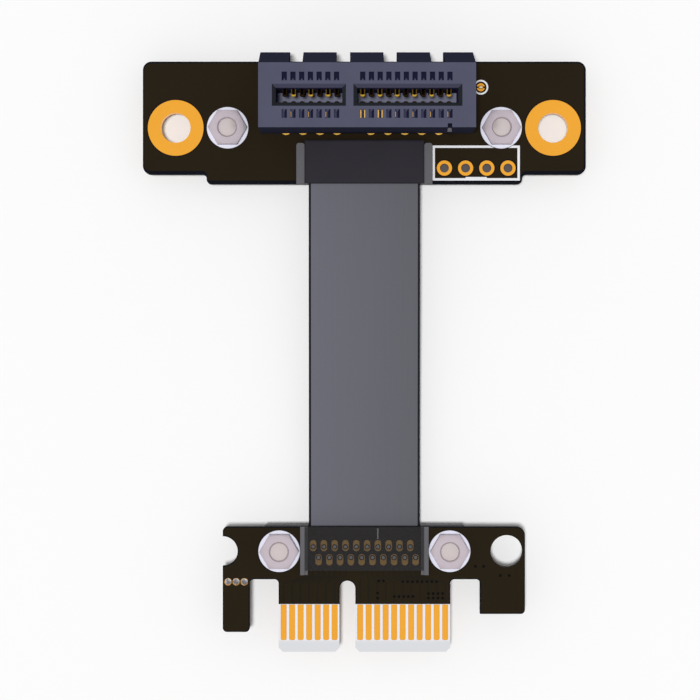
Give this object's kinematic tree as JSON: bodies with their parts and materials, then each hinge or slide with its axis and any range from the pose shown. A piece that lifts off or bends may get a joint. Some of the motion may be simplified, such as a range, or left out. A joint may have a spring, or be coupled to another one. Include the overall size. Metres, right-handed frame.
{
  "type": "pcie extension cable",
  "caption": "Short extension lead for a one-lane card slot: a flat ribbon joins a board with an upright card socket to a board with a card-edge tongue.",
  "frame": {"origin": "on the surface that the lead lies on, under the middle of its outline", "axes": "+X along both boards, +Y from the plug board towards the socket board, +Z out of the boards' fronts, the way the card socket opens"},
  "size_m": [0.0522, 0.0706, 0.0151],
  "materials": {
    "board": "satin black solder mask over glass-filled laminate",
    "gold": "bright hard gold plate",
    "moulding": "satin moulded slate-blue plastic",
    "solder": "bright tin solder",
    "ink": "matt white ink",
    "cover": "matt dark grey moulding",
    "grey": "matt mid-grey moulding",
    "ribbon": "satin grey jacket with dark edges",
    "film": "smoky see-through film",
    "conductor": "tinned copper",
    "screw": "bright nickel plate",
    "nut": "satin nickel plate with a warm cast",
    "washer": "satin pale nylon"
  },
  "bodies": {
    "root": {"socket_board": "board", "mounting_hole_plating": "gold", "power_hole_plating": "gold", "socket_board_legend": "ink", "jumper_pads": "gold", "socket_housing": "moulding", "socket_contacts_upper": "gold", "socket_contacts_lower": "gold", "socket_pin_solder": "solder", "socket_pin_pads": "gold", "socket_end_conductors": "conductor", "cable_pads": "gold", "socket_cable_cover": "cover", "socket_cover_rails": "grey", "socket_back_plate": "grey", "socket_board_screws": "screw", "socket_board_washers": "washer", "socket_board_nuts": "nut", "ribbon_cable": "ribbon", "plug_board": "board", "edge_fingers_front": "gold", "edge_fingers_back": "gold", "conductor_pads": "gold", "plug_end_conductors": "conductor", "plug_board_legend": "ink", "plug_cover_rails": "grey", "plug_cable_cover": "film", "plug_back_plate": "grey", "plug_board_screws": "screw", "plug_board_washers": "washer", "plug_board_nuts": "nut"}
  },
  "joints": []
}
